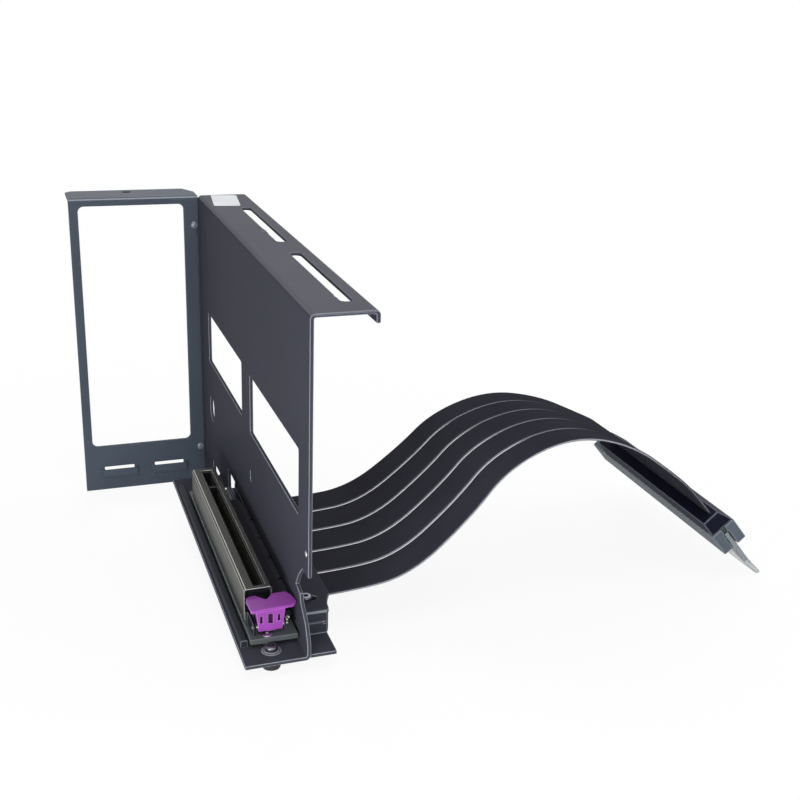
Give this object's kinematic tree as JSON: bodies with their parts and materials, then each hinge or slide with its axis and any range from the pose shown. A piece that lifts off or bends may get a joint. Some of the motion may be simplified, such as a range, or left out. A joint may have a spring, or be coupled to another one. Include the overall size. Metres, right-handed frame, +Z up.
{
  "type": "vertical gpu mount",
  "caption": "Vertical graphics card mount: folded steel bracket with plate, shielded slot with latch, and a flat ribbon riser cable with edge plug.",
  "frame": {"origin": "centre of the bounding box of the mount without its cable and plug, at the plate's lower edge", "axes": "+Z up, +Y from the tray's front to the rear plate, +X from the tray to the cable side"},
  "size_m": [0.2234, 0.1836, 0.1211],
  "materials": {
    "black_steel": "satin",
    "rivet_steel": "satin",
    "board_green": "matte",
    "bright_steel": "satin",
    "black_plastic": "matte",
    "slot_plastic": "matte",
    "shield_metal": "satin",
    "contact_gold": "satin",
    "contact_dark": "satin",
    "latch_purple": "satin",
    "dark_screw": "satin",
    "foot_rubber": "matte",
    "anchor_plastic": "matte",
    "cable_black": "satin",
    "plug_plastic": "matte",
    "plug_board": "matte",
    "clear_film": "gloss",
    "label_white": "matte"
  },
  "bodies": {
    "mount": {"main_bracket": "black_steel", "io_plate": "black_steel", "plate_rivets": "rivet_steel", "panel_stud": "rivet_steel", "riser_board": "board_green", "board_spacers": "bright_steel", "board_screws": "bright_steel", "side_rail": "black_plastic", "slot_housing": "slot_plastic", "slot_shield": "shield_metal", "slot_contacts": "contact_dark", "latch_pin": "bright_steel", "front_screw": "dark_screw", "foot": "foot_rubber", "cable_cover": "black_steel", "cable_bed": "black_plastic", "clamp_spacer": "black_plastic", "base_plate": "black_steel", "cover_screw": "dark_screw", "cable_anchor": "anchor_plastic", "cable_strip_1": "cable_black", "cable_strip_2": "cable_black", "cable_strip_3": "cable_black", "cable_strip_4": "cable_black", "cable_strip_5": "cable_black", "plug_cap": "plug_plastic", "plug_lower_shell": "plug_plastic", "plug_upper_shell": "plug_plastic", "plug_board": "plug_board", "gold_fingers": "contact_gold", "plug_sleeve": "clear_film", "blank_label": "label_white"},
    "latch": {"latch": "latch_purple"}
  },
  "joints": [
    {"name": "latch_hinge", "type": "hinge", "parent": "mount", "child": "latch", "pos_m": [0.00635, -0.0799, 0.0216], "axis": [1, 0, 0], "range_deg": [0, 25]}
  ]
}
